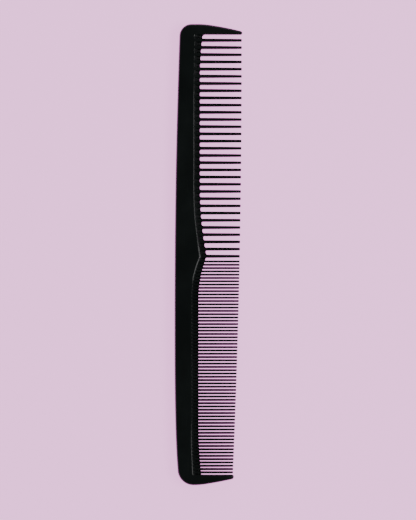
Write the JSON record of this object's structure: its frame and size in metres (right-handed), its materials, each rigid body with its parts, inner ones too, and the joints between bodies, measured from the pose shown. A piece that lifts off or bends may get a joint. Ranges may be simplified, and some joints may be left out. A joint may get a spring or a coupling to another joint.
{
  "type": "cutting comb",
  "caption": "Flat one-piece cutting comb: thick rounded back, stout end guards, coarse teeth along one half and fine teeth along the other.",
  "frame": {"origin": "under the middle of the comb's bounding box, on the surface that it lies on", "axes": "+X across the comb from the back to the tooth tips, +Y along it from the fine end to the coarse end, +Z through its thickness"},
  "size_m": [0.0262, 0.178, 0.004],
  "materials": {
    "black_plastic": "black moulded plastic, satin to gloss, with fine handling scratches"
  },
  "bodies": {
    "root": {"back": "black_plastic", "coarse_end_guard": "black_plastic", "fine_end_guard": "black_plastic", "coarse_teeth": "black_plastic", "fine_teeth": "black_plastic"}
  },
  "joints": []
}
